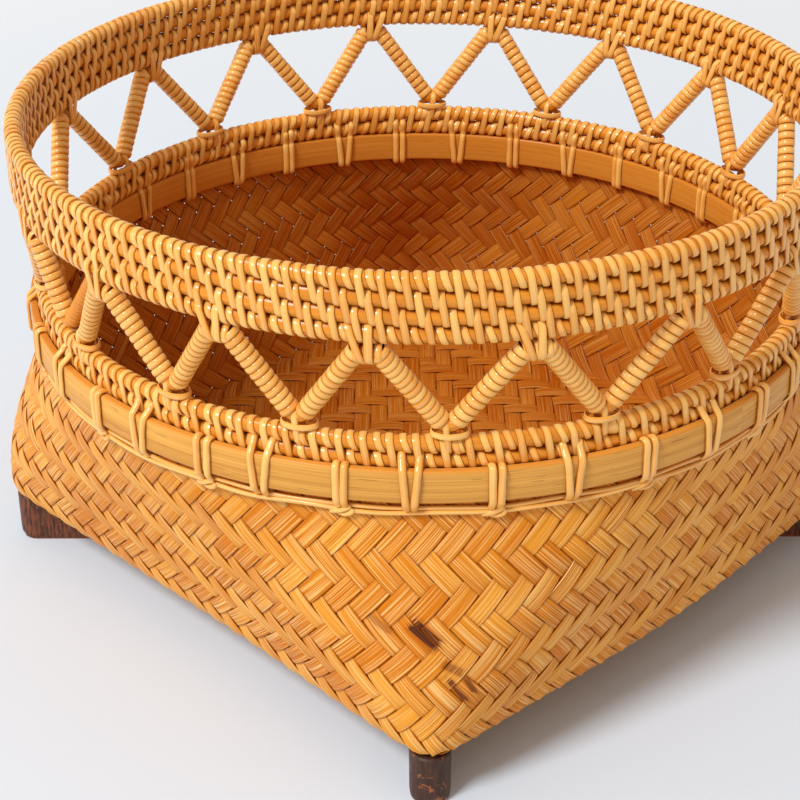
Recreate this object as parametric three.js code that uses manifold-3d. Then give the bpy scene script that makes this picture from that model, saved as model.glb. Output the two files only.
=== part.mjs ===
import * as THREE from 'three';
import { mergeVertices } from 'three/addons/utils/BufferGeometryUtils.js';
import Module from 'manifold-3d';

// Square-based, round-mouthed basket of twilled bamboo on two crossed wooden runners.
// A collar of bound rattan rods and two bamboo hoops edge the woven bowl. A zigzag gallery
// of bent rattan stands on the collar and carries a rim of four stacked rods.
// Lengths are in millimetres, +Z is up, and the origin is on the floor under the middle.

const wasm = await Module();
wasm.setup();

// Driving dimensions
const CLEARANCE = 0.3;

const RUNNER_HEIGHT = 19.7;
const RUNNER_THICKNESS = 14;
const RUNNER_TOE_RADIUS = 4;
const RUNNER_SETBACK = 0.9;

const BASE_WIDTH = 238;
const BASE_CORNER_RADIUS = 9.4;
const BASE_EDGE_ROUNDING = 3;
const SIDE_SWELL = 9.5;
const SIDE_SWELL_SHARPNESS = 2.4;
const BOWL_HEIGHT = 96.8;
const BOWL_WALL = 2.4;
const MOUTH_RADIUS = 144.2;
const RIDGE_LOW_SWELL = 4.1;
const RIDGE_HIGH_SWELL = 8.8;

const HOOP_HEIGHT = 12;
const HOOP_LIP = 2.1;
const OUTER_HOOP_THICKNESS = 3;
const INNER_HOOP_THICKNESS = 2.7;

const ROD_DIAMETER = 5.6;
const COLLAR_ROD_COUNT = 2;
const RIM_ROD_COUNT = 4;
const RIM_OUTER_RADIUS = 150;

const GALLERY_HEIGHT = 35.5;
const ARCH_COUNT = 18;
const ARCH_ROD_DIAMETER = 6.8;
const ARCH_CROWN = 7;
const ARCH_BEND = 4.5;
const ARCH_FOOT_RISE = 2;
const FIRST_ARCH_ANGLE = -94;
const ARCH_DRIFTS = [
  { waves: 1, degrees: 3.5, direction: -65 },
  { waves: 2, degrees: 1.2, direction: 33 },
  { waves: 3, degrees: 1.1, direction: 15 },
];

const CANE_WIDTH = 2.6;
const CANE_THICKNESS = 0.8;
const STRAND_WIDTH = 2.4;
const STRAND_HEIGHT = 2.2;
const STRAND_DROP = 3;
const LASHING_LEAD = 0.6;
const LASHING_SPREAD = 5.3;
const VEE_TOP_OFFSET = 4.2;
const VEE_FOOT_OFFSET = 1;
const PAIR_OFFSET = 1.7;

// Facets
const RING_FACETS = 60;
const ROD_FACETS = 8;
const ARCH_STEPS = 14;
const WALL_FACETS = 64;
const WALL_BANDS = 7;
const STRAND_STEPS = 5;

// Heights and radii that follow from the sizes above
const rodRadius = ROD_DIAMETER / 2;
const rodPitch = ROD_DIAMETER + CLEARANCE;
const baseHeight = RUNNER_HEIGHT + CLEARANCE;
const mouthHeight = baseHeight + BOWL_HEIGHT;
const collarRadius = MOUTH_RADIUS - rodRadius;
const collarBottom = mouthHeight + CLEARANCE;
const collarTop = collarBottom + COLLAR_ROD_COUNT * rodPitch - CLEARANCE;
const rimRadius = RIM_OUTER_RADIUS - rodRadius;
const rimBottom = collarTop + GALLERY_HEIGHT + 2 * CLEARANCE;
const outerHoopTop = mouthHeight + HOOP_LIP;
const outerHoopBottom = outerHoopTop - HOOP_HEIGHT;
const outerHoopInner = MOUTH_RADIUS + CLEARANCE;
const outerHoopFace = outerHoopInner + OUTER_HOOP_THICKNESS;
const innerHoopFace = MOUTH_RADIUS - BOWL_WALL - CLEARANCE;
const strandTop = outerHoopBottom - STRAND_DROP;
const strandInner = MOUTH_RADIUS + CLEARANCE;
const strandOuter = strandInner + STRAND_WIDTH;
const roundHeight = strandTop - STRAND_HEIGHT - CLEARANCE;
const archStep = 360 / ARCH_COUNT;

// Finishes
const finish = (color, roughness) => new THREE.MeshStandardMaterial({ color, roughness, metalness: 0 });
const boundRattan = finish(0xd99a4a, 0.42);
const barkFreeRattan = finish(0xe0a552, 0.4);
const splitBamboo = finish(0xcf9f5e, 0.5);
const twilledBamboo = finish(0xd08a3c, 0.55);
const canePeel = finish(0xe3ab58, 0.4);
const darkWood = finish(0x5a3222, 0.6);

const basket = new THREE.Group();

function place(name, geometry, material, turn = 0) {
  const mesh = new THREE.Mesh(geometry, material);
  mesh.name = name;
  mesh.rotation.z = THREE.MathUtils.degToRad(turn);
  basket.add(mesh);
}

function numbered(name, index) {
  return `${name}_${String(index + 1).padStart(2, '0')}`;
}

// Conversions for cutting and joining closed solids
function toSolid(geometry) {
  const bare = geometry.clone();
  bare.deleteAttribute('normal');
  bare.deleteAttribute('uv');
  const merged = mergeVertices(bare, 1e-4);
  return new wasm.Manifold(new wasm.Mesh({
    numProp: 3,
    vertProperties: new Float32Array(merged.attributes.position.array),
    triVerts: new Uint32Array(merged.index.array),
  }));
}

function toGeometry(solid) {
  const mesh = solid.getMesh();
  const geometry = new THREE.BufferGeometry();
  geometry.setAttribute('position', new THREE.BufferAttribute(new Float32Array(mesh.vertProperties), 3));
  geometry.setIndex(new THREE.BufferAttribute(new Uint32Array(mesh.triVerts), 1));
  geometry.computeVertexNormals();
  return geometry;
}

function joinAll(geometries) {
  return toGeometry(geometries.map(toSolid).reduce((whole, piece) => whole.add(piece)));
}

// Closed solid through a row of sections, each a ring of points seen anticlockwise from its far end
function loft(sections) {
  const count = sections[0].length;
  const points = sections.flat();
  const faces = [];
  const quad = (a, b, c, d) => faces.push(a, b, c, a, c, d);
  for (let row = 0; row < sections.length - 1; row += 1) {
    for (let k = 0; k < count; k += 1) {
      const next = (k + 1) % count;
      const low = row * count;
      quad(low + k, low + next, low + count + next, low + count + k);
    }
  }
  const last = (sections.length - 1) * count;
  for (let k = 1; k < count - 1; k += 1) {
    faces.push(0, k + 1, k);
    faces.push(last, last + k, last + k + 1);
  }
  const geometry = new THREE.BufferGeometry().setFromPoints(points);
  geometry.setIndex(faces);
  geometry.computeVertexNormals();
  return geometry;
}

function polar(radius, angle, height) {
  return new THREE.Vector3(radius * Math.cos(angle), radius * Math.sin(angle), height);
}

// Runners: boards set corner to corner, halved where they cross, with round-ended toes
function runnerSolid(notchFromTop) {
  const reach = cornerReach() - RUNNER_SETBACK;
  const longReach = reach + sideSwell(Math.PI / 4);
  const half = RUNNER_THICKNESS / 2;
  const plan = new THREE.Shape();
  plan.absarc(longReach - half, 0, half, -Math.PI / 2, Math.PI / 2);
  plan.absarc(half - reach, 0, half, Math.PI / 2, Math.PI * 1.5);
  const board = new THREE.ExtrudeGeometry(plan, {
    depth: RUNNER_HEIGHT, bevelEnabled: false, curveSegments: 8,
  });

  const side = new THREE.Shape();
  side.moveTo(longReach, RUNNER_HEIGHT);
  side.lineTo(-reach, RUNNER_HEIGHT);
  side.absarc(RUNNER_TOE_RADIUS - reach, RUNNER_TOE_RADIUS, RUNNER_TOE_RADIUS, Math.PI, Math.PI * 1.5);
  side.absarc(longReach - RUNNER_TOE_RADIUS, RUNNER_TOE_RADIUS, RUNNER_TOE_RADIUS, -Math.PI / 2, 0);
  const profile = new THREE.ExtrudeGeometry(side, {
    depth: RUNNER_THICKNESS, bevelEnabled: false, curveSegments: 4,
  });
  profile.rotateX(Math.PI / 2);
  profile.translate(0, half, 0);

  const notchDepth = (RUNNER_HEIGHT + CLEARANCE) / 2;
  const slot = RUNNER_THICKNESS + 2 * CLEARANCE;
  const notch = new THREE.BoxGeometry(slot, 2 * RUNNER_THICKNESS, 2 * notchDepth);
  notch.translate(0, 0, notchFromTop ? RUNNER_HEIGHT : 0);
  return toGeometry(toSolid(board).intersect(toSolid(profile)).subtract(toSolid(notch)));
}

// Bowl: a square base with rounded corners that rises into a round mouth. The base swells on its +X side.
function cornerReach() {
  return BASE_WIDTH / Math.SQRT2 - (Math.SQRT2 - 1) * BASE_CORNER_RADIUS;
}

function sideSwell(angle) {
  return SIDE_SWELL * Math.max(Math.cos(angle), 0) ** SIDE_SWELL_SHARPNESS;
}

function bowlRadius(angle, height) {
  const rise = THREE.MathUtils.clamp((height - baseHeight) / (roundHeight - baseHeight), 0, 1);
  const fall = 1 - rise;
  const flank = BASE_WIDTH / 2 * fall + MOUTH_RADIUS * rise;
  const ridge = cornerReach() * fall ** 3
    + 3 * (cornerReach() + RIDGE_LOW_SWELL) * rise * fall ** 2
    + 3 * (MOUTH_RADIUS + RIDGE_HIGH_SWELL) * rise ** 2 * fall
    + MOUTH_RADIUS * rise ** 3;
  const squareness = Math.LN2 / Math.log(Math.SQRT2 * flank / ridge);
  const spread = Math.abs(Math.cos(angle)) ** squareness + Math.abs(Math.sin(angle)) ** squareness;
  return flank / spread ** (1 / squareness) + sideSwell(angle) * fall;
}

function bowlRing(height, inset) {
  const ring = [];
  for (let k = 0; k < WALL_FACETS; k += 1) {
    const angle = 2 * Math.PI * k / WALL_FACETS;
    ring.push(polar(bowlRadius(angle, height) - inset, angle, height));
  }
  return ring;
}

function bowlShell() {
  const edge = BASE_EDGE_ROUNDING;
  const softened = edge * (1 - Math.SQRT1_2);
  const floor = baseHeight + BOWL_WALL;
  const flank = [];
  for (let band = 0; band <= WALL_BANDS; band += 1) {
    flank.push(THREE.MathUtils.lerp(floor + edge, roundHeight, band / WALL_BANDS));
  }
  const outer = [
    bowlRing(baseHeight, edge),
    bowlRing(baseHeight + softened, softened),
    bowlRing(baseHeight + edge, 0),
    ...flank.map((height) => bowlRing(height, 0)),
    bowlRing(mouthHeight, 0),
  ];
  const inner = [
    bowlRing(mouthHeight, BOWL_WALL),
    ...flank.toReversed().map((height) => bowlRing(height, BOWL_WALL)),
    bowlRing(floor, BOWL_WALL + edge),
  ];
  return loft([...outer, ...inner]);
}

// Hoops: bands of split bamboo on both sides of the woven wall
function hoop(innerRadius, outerRadius, bottom) {
  const section = [
    new THREE.Vector2(innerRadius, bottom),
    new THREE.Vector2(outerRadius, bottom),
    new THREE.Vector2(outerRadius, bottom + HOOP_HEIGHT),
    new THREE.Vector2(innerRadius, bottom + HOOP_HEIGHT),
    new THREE.Vector2(innerRadius, bottom),
  ];
  const band = new THREE.LatheGeometry(section, RING_FACETS);
  band.rotateX(Math.PI / 2);
  return band;
}

// Rods: rings of bound rattan stacked into the collar and the rim
function rodRing(radius, height) {
  const ring = new THREE.TorusGeometry(radius, rodRadius, ROD_FACETS, RING_FACETS);
  ring.translate(0, 0, height);
  return ring;
}

// Direction of a place along the hand-bent zigzag, whole numbers for crowns and halves for feet.
// The arches crowd together on some sides of the basket and spread on others.
function galleryTurn(place) {
  const even = FIRST_ARCH_ANGLE + place * archStep;
  return ARCH_DRIFTS.reduce((turn, { waves, degrees, direction }) => {
    const phase = THREE.MathUtils.degToRad(waves * (even - direction));
    return turn + degrees * Math.cos(phase);
  }, even);
}

// Gallery: one bent length of rattan for each crown of the zigzag, feet on the collar
function archSolid(place) {
  const footTurn = (side) => THREE.MathUtils.degToRad(galleryTurn(place + side / 2) - galleryTurn(place));
  const crownHeight = rimBottom - CLEARANCE - ARCH_ROD_DIAMETER / 2;
  const footHeight = collarTop + CLEARANCE + ARCH_FOOT_RISE;
  const foot = (side) => polar(collarRadius, footTurn(side), footHeight);
  const shoulder = (side) => new THREE.Vector3(rimRadius, side * ARCH_CROWN / 2, crownHeight);
  const legDirection = (side) => foot(side).sub(shoulder(side)).normalize();
  const path = new THREE.CurvePath();
  const middle = new THREE.Vector3(rimRadius, 0, crownHeight);
  const bendIn = (side) => shoulder(side).addScaledVector(legDirection(side), ARCH_BEND);
  const bendOut = (side) => shoulder(side).lerp(middle, 0.6);
  const sunkEnd = (side) => foot(side).addScaledVector(legDirection(side), ARCH_ROD_DIAMETER);
  path.add(new THREE.LineCurve3(sunkEnd(-1), bendIn(-1)));
  path.add(new THREE.QuadraticBezierCurve3(bendIn(-1), shoulder(-1), bendOut(-1)));
  path.add(new THREE.LineCurve3(bendOut(-1), bendOut(1)));
  path.add(new THREE.QuadraticBezierCurve3(bendOut(1), shoulder(1), bendIn(1)));
  path.add(new THREE.LineCurve3(bendIn(1), sunkEnd(1)));

  const corners = [];
  for (let k = 0; k < ROD_FACETS; k += 1) {
    const angle = 2 * Math.PI * k / ROD_FACETS;
    const corner = new THREE.Vector2(Math.cos(angle), Math.sin(angle));
    corners.push(corner.multiplyScalar(ARCH_ROD_DIAMETER / 2));
  }
  const rod = new THREE.ExtrudeGeometry(new THREE.Shape(corners), {
    steps: ARCH_STEPS, extrudePath: path, bevelEnabled: false,
  });

  // The feet are cut level over the collar and upright against the next arch's feet
  const block = 4 * ARCH_ROD_DIAMETER;
  let solid = toSolid(rod);
  const level = new THREE.BoxGeometry(block, 2 * collarRadius, block);
  level.translate(collarRadius, 0, collarTop + CLEARANCE - block / 2);
  solid = solid.subtract(toSolid(level));
  for (const side of [-1, 1]) {
    const mitre = new THREE.BoxGeometry(block, block, 2 * block);
    mitre.translate(collarRadius, side * (block / 2 - CLEARANCE / 2), footHeight);
    mitre.rotateZ(footTurn(side));
    solid = solid.subtract(toSolid(mitre));
  }
  return toGeometry(solid);
}

// Lashings: split cane from the groove between the collar rods down over the outer hoop.
// Each holds a spread pair, a level pair and its share of the strand under the hoop.
function caneStrip(topOffset, footOffset) {
  const rest = rodRadius + CLEARANCE + CANE_THICKNESS / 2;
  const stand = CLEARANCE + CANE_THICKNESS / 2;
  const rodHeight = collarBottom + rodRadius;
  const face = outerHoopFace + stand;
  const route = [60, 30].map((tilt) => {
    const angle = THREE.MathUtils.degToRad(tilt);
    return new THREE.Vector2(collarRadius + rest * Math.cos(angle), rodHeight + rest * Math.sin(angle));
  });
  route.push(new THREE.Vector2(outerHoopFace - 0.3 * stand, outerHoopTop + 1.3 * stand));
  route.push(new THREE.Vector2(face, outerHoopTop - 0.3 * stand));
  route.push(new THREE.Vector2(face, outerHoopBottom - 0.3 * stand));
  route.push(new THREE.Vector2(strandOuter - CANE_THICKNESS / 2, strandTop - STRAND_HEIGHT / 2));
  const top = route[0].y;
  const drop = top - route[route.length - 1].y;
  const sections = route.map((point, index) => {
    const before = route[Math.max(index - 1, 0)];
    const after = route[Math.min(index + 1, route.length - 1)];
    const along = after.clone().sub(before).normalize();
    const normal = new THREE.Vector2(-along.y, along.x).multiplyScalar(CANE_THICKNESS / 2);
    const offset = THREE.MathUtils.lerp(topOffset, footOffset, (top - point.y) / drop);
    const corner = (side, layer) => new THREE.Vector3(
      point.x + layer * normal.x,
      offset + side * CANE_WIDTH / 2,
      point.y + layer * normal.y,
    );
    return [corner(-1, -1), corner(1, -1), corner(1, 1), corner(-1, 1)];
  });
  return loft(sections);
}

function lashingSolid(place) {
  const vee = [-1, 1].map((side) => caneStrip(side * VEE_TOP_OFFSET, side * VEE_FOOT_OFFSET));
  const pair = [-1, 1].map((side) => caneStrip(side * PAIR_OFFSET, side * PAIR_OFFSET));
  vee.forEach((strip) => strip.rotateZ(THREE.MathUtils.degToRad(-LASHING_SPREAD)));
  pair.forEach((strip) => strip.rotateZ(THREE.MathUtils.degToRad(LASHING_SPREAD)));

  const reach = (side) => {
    const shared = (galleryTurn(place + side) - galleryTurn(place)) / 2;
    return THREE.MathUtils.degToRad(shared) - side * CLEARANCE / 2 / strandOuter;
  };
  const sections = [];
  for (let step = 0; step <= STRAND_STEPS; step += 1) {
    const angle = THREE.MathUtils.lerp(reach(-1), reach(1), step / STRAND_STEPS);
    sections.push([
      polar(strandInner, angle, strandTop - STRAND_HEIGHT),
      polar(strandInner, angle, strandTop),
      polar(strandOuter, angle, strandTop),
      polar(strandOuter, angle, strandTop - STRAND_HEIGHT),
    ]);
  }
  return joinAll([...vee, ...pair, loft(sections)]);
}

// The whole basket
place('runner_lower', runnerSolid(true), darkWood, 45);
place('runner_upper', runnerSolid(false), darkWood, -45);
place('woven_bowl', bowlShell(), twilledBamboo);
const innerHoopInner = innerHoopFace - INNER_HOOP_THICKNESS;
place('inner_hoop', hoop(innerHoopInner, innerHoopFace, mouthHeight - HOOP_HEIGHT), splitBamboo);
place('outer_hoop', hoop(outerHoopInner, outerHoopFace, outerHoopBottom), splitBamboo);

for (let k = 0; k < COLLAR_ROD_COUNT; k += 1) {
  const height = collarTop - rodRadius - k * rodPitch;
  place(numbered('collar_rod', k), rodRing(collarRadius, height), boundRattan);
}

for (let k = 0; k < RIM_ROD_COUNT; k += 1) {
  const height = rimBottom + rodRadius + (RIM_ROD_COUNT - 1 - k) * rodPitch;
  place(numbered('rim_rod', k), rodRing(rimRadius, height), boundRattan);
}

for (let k = 0; k < ARCH_COUNT; k += 1) {
  const foot = k + 0.5;
  place(numbered('gallery_arch', k), archSolid(k), barkFreeRattan, galleryTurn(k));
  place(numbered('hoop_lashing', k), lashingSolid(foot), canePeel, galleryTurn(foot) + LASHING_LEAD);
}

export default basket;
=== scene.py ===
"""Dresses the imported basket: twilled strips, bound rods, wrapped gallery, hoops, lashings and runners."""
from math import ceil, cos, floor, pi, radians, sin, sqrt, tau

import bmesh
import bpy
import numpy as np
from bpy.props import FloatProperty, FloatVectorProperty, IntProperty, PointerProperty
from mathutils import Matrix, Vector


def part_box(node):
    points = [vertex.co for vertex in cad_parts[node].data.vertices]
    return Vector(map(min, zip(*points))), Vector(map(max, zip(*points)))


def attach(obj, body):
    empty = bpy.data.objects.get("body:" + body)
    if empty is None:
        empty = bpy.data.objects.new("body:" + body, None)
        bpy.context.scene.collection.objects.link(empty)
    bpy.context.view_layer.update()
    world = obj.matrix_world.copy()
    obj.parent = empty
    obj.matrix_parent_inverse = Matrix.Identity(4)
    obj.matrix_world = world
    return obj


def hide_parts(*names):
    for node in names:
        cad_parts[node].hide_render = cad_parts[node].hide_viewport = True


bl_info = {
    "name": "Twilled Bamboo Basket",
    "version": (1, 0, 0),
    "blender": (4, 5, 0),
    "location": "3D View > Sidebar > Basket",
    "description": "Weaves, binds and lashes the basket over its packed model",
    "category": "Object",
}

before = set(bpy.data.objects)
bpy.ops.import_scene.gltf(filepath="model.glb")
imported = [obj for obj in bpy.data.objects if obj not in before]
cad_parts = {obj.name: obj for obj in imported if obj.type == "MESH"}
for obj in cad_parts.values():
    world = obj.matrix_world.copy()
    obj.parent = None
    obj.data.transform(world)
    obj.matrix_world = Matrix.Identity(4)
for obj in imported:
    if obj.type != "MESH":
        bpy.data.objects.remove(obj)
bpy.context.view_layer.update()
BODY = "root"
ARCHES = sum(name.startswith("gallery_arch_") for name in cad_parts)


def rod_ring(node):
    """Radius, height and half thickness of a round CAD rod."""
    low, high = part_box(node)
    half = (high[2] - low[2]) / 2
    return high[0] - half, (low[2] + high[2]) / 2, half


RIM = [rod_ring(f"rim_rod_{k:02d}") for k in range(1, 5)]
COLLAR = [rod_ring(f"collar_rod_{k:02d}") for k in range(1, 3)]
BOWL_LOW, BOWL_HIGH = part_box("woven_bowl")
RUNNER_LOW, RUNNER_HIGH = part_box("runner_lower")
# Thickness of a runner and of the hoops
RUNNER_THICKNESS, OUTER_HOOP, INNER_HOOP = 0.014, 0.003, 0.0027

# Dark marks by the front corner: both ends, reach and strength
SCORCHES = (((0.1071, -0.1158, 0.0680), (0.1153, -0.1124, 0.0615), 0.0023, 0.95),
            ((0.1204, -0.1122, 0.0502), (0.1244, -0.1084, 0.0426), 0.0010, 0.75),
            ((0.1234, -0.1075, 0.0501), (0.1254, -0.1053, 0.0447), 0.0010, 0.6),
            ((0.1180, -0.1123, 0.0555), (0.1223, -0.1083, 0.0523), 0.0014, 0.45),
            ((0.0942, -0.1235, 0.0688), (0.1023, -0.1206, 0.0648), 0.0012, 0.3))


# Sizes and colours

def length(name, description, default):
    return FloatProperty(name=name, description=description, default=default, unit="LENGTH", precision=4)


def colour(name, description, default):
    return FloatVectorProperty(name=name, description=description, default=default, subtype="COLOR", size=3,
                               min=0, max=1)


class WeaveSizes(bpy.types.PropertyGroup):
    strips: IntProperty(name="Strips", description="Bamboo strips in the whole basket", default=96)
    base_width: length("Base width", "Side of the square base", 0.238)
    corner: length("Corner reach", "From the middle to a rounded base corner", 0.1644)
    lattice_drop: length("Lattice drop", "How far over the base edge the flat weave reaches", 0.0025)
    cover: FloatProperty(name="Cover", description="Share of the pitch that a strip covers", default=0.99)
    thickness: length("Strip thickness", "Thickness of a bamboo strip", 0.0007)
    relief: length("Relief", "How far a strip rises over and dips under the others", 0.0007)
    fold: length("Fold", "Half width of the rounded edge of the base", 0.004)
    round_height: length("Round height", "Height above which the wall is a cylinder", 0.1014)
    swell: length("Side swell", "How far the base swells in the middle of its +X side", 0.0095)
    swell_sharpness: FloatProperty(name="Swell sharpness", description="How fast the swell fades to the corners",
                                   default=2.4)


class CaneSizes(bpy.types.PropertyGroup):
    width: length("Cane width", "Width of the binding cane", 0.0028)
    thickness: length("Cane thickness", "Thickness of the binding cane", 0.0006)
    rod: length("Bare rod", "Radius of a bare rim or collar rod", 0.00268)
    rim_stitches: IntProperty(name="Rim stitches", description="Long stitches round the rim", default=128)
    collar_stitches: IntProperty(name="Collar stitches", description="Long stitches round the collar", default=108)
    leg_rod: length("Gallery rod", "Radius of the bare gallery rod", 0.0029)
    rising_pitch: length("Rising wrap pitch", "Spacing of the cane turns on the legs that rise anticlockwise", 0.0028)
    falling_pitch: length("Falling wrap pitch", "Spacing of the cane turns on the other legs", 0.0024)


class GallerySizes(bpy.types.PropertyGroup):
    first: FloatProperty(name="First bend", description="Direction of the first top bend, in degrees", default=-94.0)
    drifts: FloatVectorProperty(name="Drifts", description="How far the bends drift from an even spacing, in degrees, "
                                "in one, two and three waves round the rim", default=(3.5, 1.2, 1.1))
    drift_directions: FloatVectorProperty(name="Drift directions", description="Where each wave of drift is largest, "
                                          "in degrees", default=(-65, 33, 15))
    crown: length("Crown", "Flat stretch at a top bend", 0.007)
    bend: length("Bend", "Length of rod that turns at a bend", 0.0045)
    lap: FloatProperty(name="Lap", description="How far the rod's last foot stops before its first, in arches",
                       default=0.26)
    foot_rise: length("Foot rise", "Height of a foot's bend over the collar", 0.0023)
    lead: FloatProperty(name="Lashing lead", description="Turn of a lashing past the foot, in degrees", default=0.6)
    spread: FloatProperty(name="Lashing spread", description="Turn from a lashing's middle to its pairs, in degrees",
                          default=5.3)


class Palette(bpy.types.PropertyGroup):
    honey: colour("Honey", "Light tone of the woven strips", (0.86, 0.355, 0.036))
    amber: colour("Amber", "Deep tone of the woven strips", (0.65, 0.185, 0.006))
    # Pale fibres of the strips, also used for painted highlights: cream streaks on the strips and a streak along the
    # middle of each cane
    straw_and_highlight: colour("Straw", "Pale fibres of the woven strips", (1.0, 0.70, 0.29))
    # Dark fibres, also used for painted shade where a strip dips under another
    fibre: colour("Fibre", "Dark fibres of the woven strips", (0.42, 0.10, 0.008))
    # This is painted shade, not a stain: along the strips' edges and in the grooves between the rods
    seam: colour("Seam", "Stained edges of the woven strips", (0.30, 0.060, 0.002))
    # Painted shade: the inner side of the strips is darkened, as the inside of the bowl lies in shade
    inner: colour("Inside", "How the strips' inner side deepens", (0.65, 0.47, 0.30))
    scorch: colour("Scorch", "Dark marks on the bamboo", (0.075, 0.020, 0.010))
    cane: colour("Cane", "Light tone of the cane", (0.94, 0.50, 0.115))
    cane_deep: colour("Deep cane", "Deep tone of the cane", (0.82, 0.30, 0.026))
    # This is painted shade, not a stain: darker towards the edges of each cane, where it meets the next
    cane_edge_shade: colour("Cane edge", "Stained edges of the cane", (0.28, 0.055, 0.002))
    rattan: colour("Rattan", "Bare rattan rods", (0.64, 0.215, 0.017))
    split: colour("Split bamboo", "Light tone of the hoops", (0.82, 0.41, 0.080))
    split_deep: colour("Deep split bamboo", "Deep streaks of the hoops", (0.58, 0.24, 0.038))
    bark: colour("Bark", "Dark grain of the runners", (0.045, 0.018, 0.012))
    umber: colour("Umber", "Wood of the darker runner", (0.085, 0.034, 0.018))
    russet: colour("Russet", "Wood of the warmer runner", (0.25, 0.075, 0.028))
    rust: colour("Rust", "Warm patches of the runners", (0.42, 0.13, 0.035))
    floor: colour("Floor", "Floor round the basket", (0.685, 0.75, 0.83))
    backdrop: colour("Backdrop", "Floor far from the basket", (0.84, 0.86, 0.88))


def settings():
    return bpy.context.scene.basket


# Node graphs

class Value:
    """A node's output that works in Python expressions."""

    def __init__(self, graph, socket):
        self.graph, self.socket = graph, socket

    def __add__(self, other):
        return self.graph.math("ADD", self, other)

    def __sub__(self, other):
        return self.graph.math("SUBTRACT", self, other)

    def __rsub__(self, other):
        return self.graph.math("SUBTRACT", other, self)

    def __mul__(self, other):
        return self.graph.math("MULTIPLY", self, other)

    def __truediv__(self, other):
        return self.graph.math("DIVIDE", self, other)

    def __rtruediv__(self, other):
        return self.graph.math("DIVIDE", other, self)

    def __abs__(self):
        return self.graph.math("ABSOLUTE", self)

    __radd__, __rmul__ = __add__, __mul__


class Graph:
    """Adds and links nodes in one tree."""

    def __init__(self, tree):
        self.tree = tree

    def feed(self, socket, value):
        """Links a value to an input, or sets it as a constant."""
        if isinstance(value, Value):
            self.tree.links.new(value.socket, socket)
        else:
            socket.default_value = value

    def node(self, kind, inputs=(), output=0, **settings):
        """Adds a node by its settings and inputs. Gives one of its outputs."""
        made = self.tree.nodes.new(kind)
        for key, value in settings.items():
            setattr(made, key, value)
        for key, value in dict(inputs).items():
            self.feed(made.inputs[key], value)
        return Value(self, made.outputs[output])

    def math(self, operation, first, second=0.0):
        return self.node("ShaderNodeMath", {0: first, 1: second}, operation=operation)

    def vector(self, operation, first, second=(0, 0, 0)):
        output = "Value" if operation in ("LENGTH", "DOT_PRODUCT") else 0
        return self.node("ShaderNodeVectorMath", {0: first, 1: second}, output, operation=operation)

    def scaled(self, vector, factor):
        return self.node("ShaderNodeVectorMath", {0: vector, "Scale": factor}, operation="SCALE")

    def join(self, x=0.0, y=0.0, z=0.0):
        return self.node("ShaderNodeCombineXYZ", {0: x, 1: y, 2: z})

    def parts(self, vector):
        split = self.node("ShaderNodeSeparateXYZ", {0: vector}).socket.node
        return [Value(self, socket) for socket in split.outputs]

    def step(self, value, low, high):
        """0 below low, 1 above high, smooth between."""
        return self.node("ShaderNodeMapRange", {0: value, 1: low, 2: high}, interpolation_type="SMOOTHSTEP")


class Finish(Graph):
    """A material's shader graph, with the colour it has so far as its body."""

    def __init__(self, name, coat_roughness, specular):
        self.body = None
        self.material = bpy.data.materials.new(name)
        self.material.use_nodes = True
        super().__init__(self.material.node_tree)
        self.place = self.node("ShaderNodeTexCoord", output="Object")
        self.put({"Coat Roughness": coat_roughness, "Specular IOR Level": specular})

    def put(self, values):
        for key, value in values.items():
            self.feed(self.tree.nodes["Principled BSDF"].inputs[key], value)

    def attribute(self, name):
        return self.node("ShaderNodeAttribute", output="Fac", attribute_name=name)

    def lay(self):
        """Finds the distance along a strand and across it, and the strand's own tone. Gives the last two."""
        self.along, self.across, _ = self.parts(self.node("ShaderNodeUVMap", uv_map="lay"))
        self.tone = self.attribute("tone")
        return self.across, self.tone

    def noise(self, vector, scale=1.0, detail=2.0, roughness=0.5, distortion=0.0):
        return self.node("ShaderNodeTexNoise", {"Vector": vector, "Scale": scale, "Detail": detail,
                                                "Roughness": roughness, "Distortion": distortion})

    def streaks(self, along, across, own, **details):
        """Noise by its grains to a metre along and across a strand, and how much it changes with the tone."""
        return self.noise(self.join(self.along * along, self.across * across, self.tone * own), **details)

    def mix(self, factor, first, second, blend="MIX"):
        first, second = (shade if isinstance(shade, Value) else (*shade, 1) for shade in (first, second))
        return self.node("ShaderNodeMix", {0: factor, 6: first, 7: second}, 2, data_type="RGBA", blend_type=blend)

    def paint(self, factor, shade):
        """Covers the body with a colour, by a factor."""
        self.body = self.mix(factor, self.body, shade)

    def off_line(self, start, end):
        """How far a place lies beside a straight line, and how far past its ends."""
        start, span = Vector(start), Vector(end) - Vector(start)
        arm = self.vector("SUBTRACT", self.place, tuple(start))
        share = self.vector("DOT_PRODUCT", arm, tuple(span)) / span.length_squared
        beside = self.vector("LENGTH", self.vector("SUBTRACT", arm, self.scaled(tuple(span), share)))
        return beside, (abs(share - 0.5) - 0.5) * span.length

    def close(self, roughness, coat=0.0, grain=None, strength=0.0, depth=0.0):
        """Gives the shader its colour, roughness and varnish, and the bump of a grain."""
        self.put({"Base Color": self.body, "Roughness": roughness, "Coat Weight": coat})
        if grain:
            values = {"Height": grain, "Strength": strength, "Distance": depth}
            self.put({"Normal": self.node("ShaderNodeBump", values)})
        return self.material


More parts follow.
